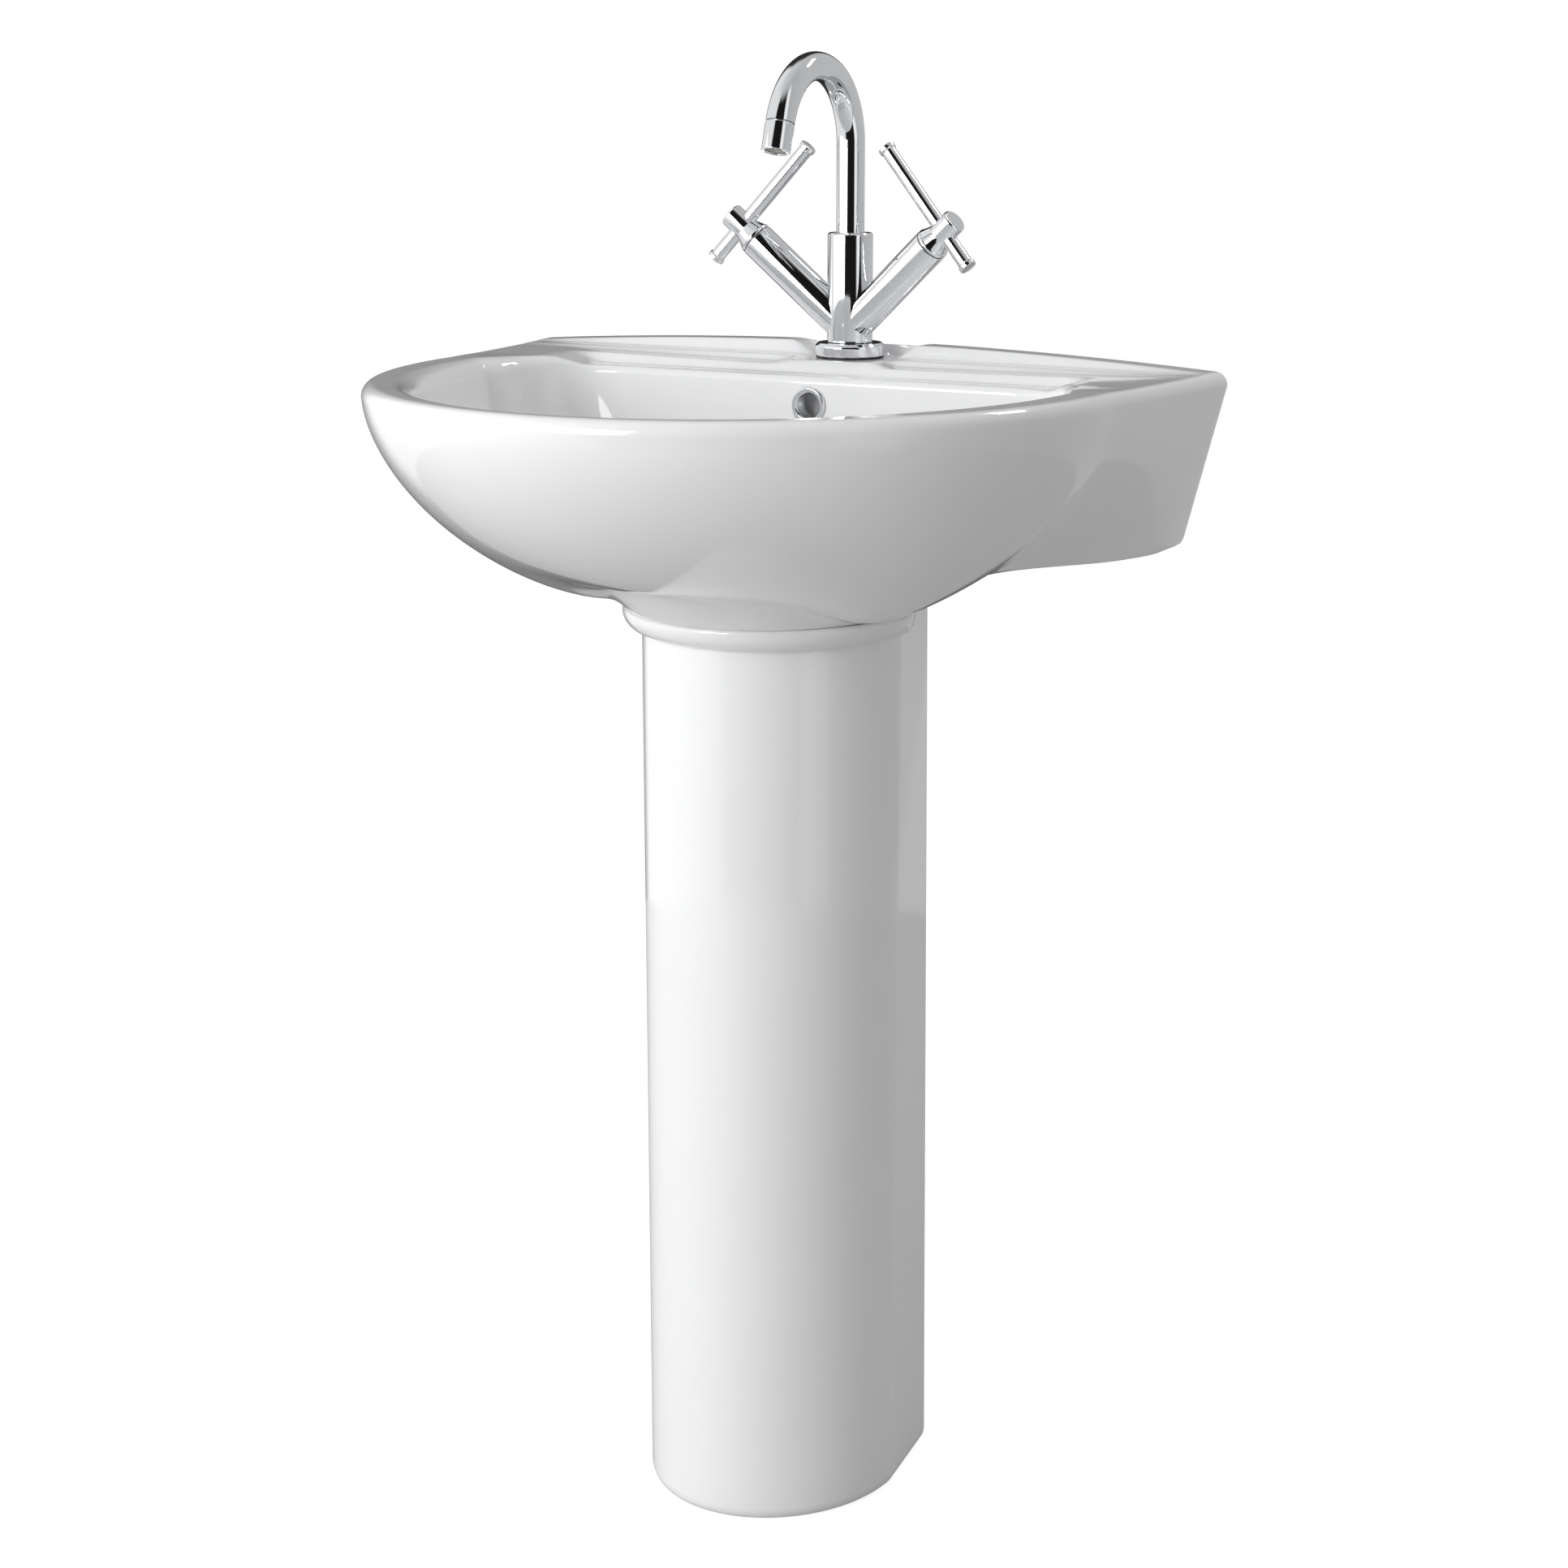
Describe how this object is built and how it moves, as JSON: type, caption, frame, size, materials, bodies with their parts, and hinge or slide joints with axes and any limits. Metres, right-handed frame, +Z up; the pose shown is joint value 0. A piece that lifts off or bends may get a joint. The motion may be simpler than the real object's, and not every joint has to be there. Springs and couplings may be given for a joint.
{
  "type": "pedestal sink",
  "caption": "Wall-backed pedestal washbasin with a D-shaped bowl, stepped tap deck, swan-neck mixer tap with bar handles, click waste and bottle trap.",
  "frame": {"origin": "on the floor, below the middle of the basin's plan", "axes": "+Z up, -Y to the user in front, +Y to the wall behind, +X to the user's right"},
  "size_m": [0.572, 0.465, 1.0583],
  "materials": {
    "ceramic": "gloss white glaze",
    "chrome": "polished chrome plate on brass",
    "rubber": "moulded black rubber",
    "brass": "machined brass",
    "steel": "zinc plated steel",
    "white_plastic": "moulded white polypropylene",
    "acetal": "moulded acetal"
  },
  "bodies": {
    "washstand": {"basin": "ceramic", "pedestal": "ceramic", "overflow_ring": "chrome", "waste_body": "chrome", "trap_wall_flange": "chrome", "tap_body": "chrome", "tap_base_flange": "chrome", "waste_top_seal": "rubber", "waste_bottom_seal": "rubber", "trap_inlet_seal": "rubber", "trap_outlet_seal": "rubber", "tap_base_gasket": "rubber", "tap_horseshoe_gasket": "rubber", "hot_spindle_o_ring": "rubber", "cold_spindle_o_ring": "rubber", "spout_upper_o_ring": "rubber", "spout_lower_o_ring": "rubber", "waste_backnut": "brass", "tap_stud": "brass", "tap_stud_nut": "brass", "hot_inlet_nipple": "brass", "cold_inlet_nipple": "brass", "hot_cartridge": "brass", "hot_gland_nut": "brass", "cold_cartridge": "brass", "cold_gland_nut": "brass", "tap_horseshoe_washer": "steel", "spout_grub_screw": "steel", "left_wall_bolt": "steel", "left_wall_nut": "steel", "right_wall_bolt": "steel", "right_wall_nut": "steel", "left_floor_screw": "steel", "right_floor_screw": "steel", "trap_inlet_nut": "white_plastic", "trap_body": "white_plastic", "trap_cup": "white_plastic", "trap_outlet_nut": "white_plastic", "trap_outlet_pipe": "white_plastic", "left_wall_washer": "white_plastic", "right_wall_washer": "white_plastic", "left_floor_washer": "white_plastic", "right_floor_washer": "white_plastic", "click_cartridge": "acetal", "spout_bush": "acetal"},
    "spout": {"spout_pipe": "chrome", "aerator_housing": "chrome", "aerator_insert": "acetal", "aerator_seal": "rubber"},
    "hot_handle": {"hot_spindle": "brass", "hot_handle_hub": "chrome", "hot_handle_bar": "chrome", "hot_handle_grub_screw": "steel"},
    "cold_handle": {"cold_spindle": "brass", "cold_handle_hub": "chrome", "cold_handle_bar": "chrome", "cold_handle_grub_screw": "steel"},
    "plug": {"plug_stem": "brass", "waste_plug": "chrome", "plug_seal": "rubber"}
  },
  "joints": [
    {"name": "spout_swivel", "type": "hinge", "parent": "washstand", "child": "spout", "pos_m": [0, 0.198, 0.929], "axis": [0, 0, 1], "range_deg": [-60, 60]},
    {"name": "hot_handle_turn", "type": "hinge", "parent": "washstand", "child": "hot_handle", "pos_m": [0, 0.198, 0.858], "axis": [-0.7375, -0.1234, 0.6639], "range_deg": [-90, 0]},
    {"name": "cold_handle_turn", "type": "hinge", "parent": "washstand", "child": "cold_handle", "pos_m": [0, 0.198, 0.858], "axis": [0.7375, -0.1234, 0.6639], "range_deg": [0, 90]},
    {"name": "plug_lift", "type": "slide", "parent": "washstand", "child": "plug", "axis": [0, 0, 1], "range_m": [0, 0.008]}
  ]
}
